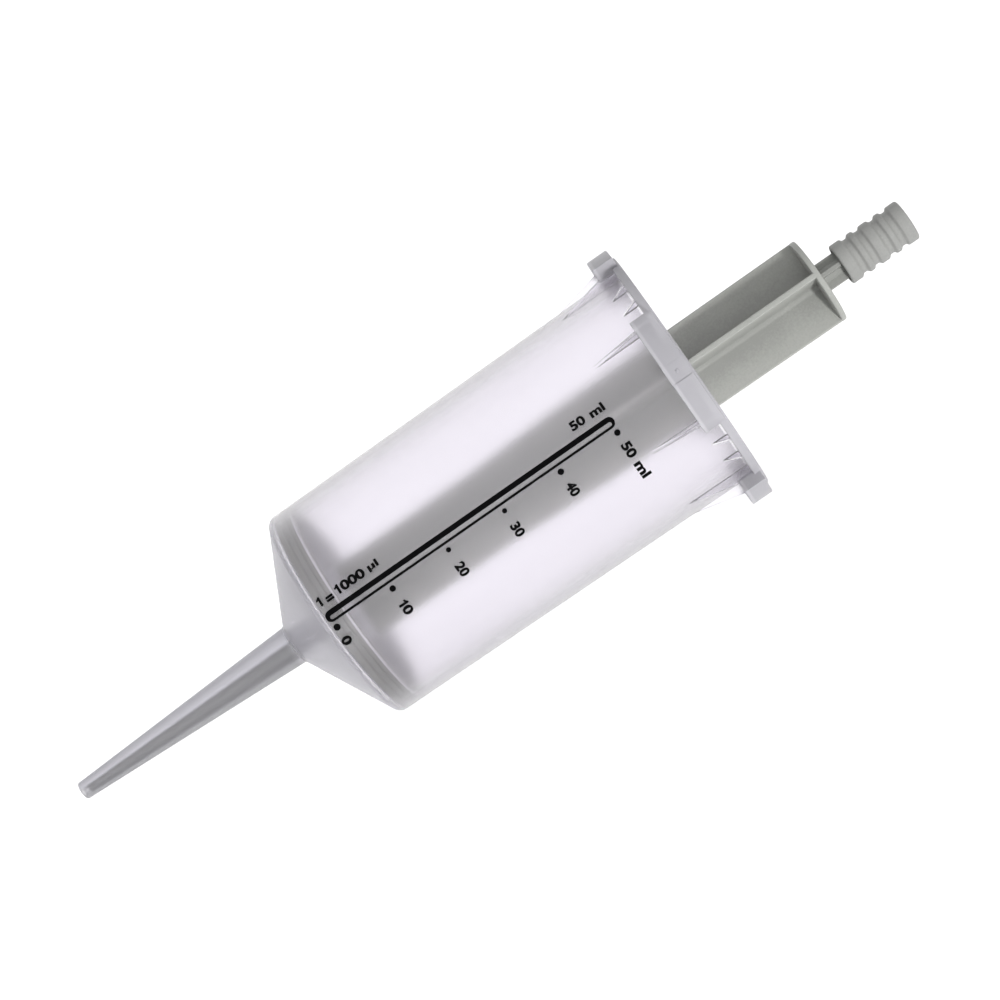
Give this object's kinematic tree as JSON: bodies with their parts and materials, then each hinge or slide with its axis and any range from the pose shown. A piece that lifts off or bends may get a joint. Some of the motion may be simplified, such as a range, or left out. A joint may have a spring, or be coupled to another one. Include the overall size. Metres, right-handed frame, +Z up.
{
  "type": "repeating pipette tip",
  "caption": "Large dispenser tip: clear tapered nozzle and syringe barrel with lugged flange, grey finned plunger and grooved coupling head.",
  "frame": {"origin": "middle of the footprint, on the surface that the tip lies on", "axes": "+X from the nozzle's tip towards the coupling head, +Z up; the tip's own axis rises a few degrees towards the head, because it rests on two lug corners and the tube's shoulder"},
  "size_m": [0.1596, 0.0436, 0.0438],
  "materials": {
    "clear_barrel": "frosted translucent polypropylene",
    "plunger_grey": "satin moulded polyethylene",
    "head_grey": "matt moulded plastic",
    "scale_ink": "matt black screen print"
  },
  "bodies": {
    "barrel": {"barrel": "clear_barrel"},
    "plunger": {"plunger": "plunger_grey", "coupling_head": "head_grey"}
  },
  "joints": [
    {"name": "plunger_slide", "type": "slide", "parent": "barrel", "child": "plunger", "axis": [0.9987, 0, 0.0513], "range_m": [0, 0.05197]}
  ]
}
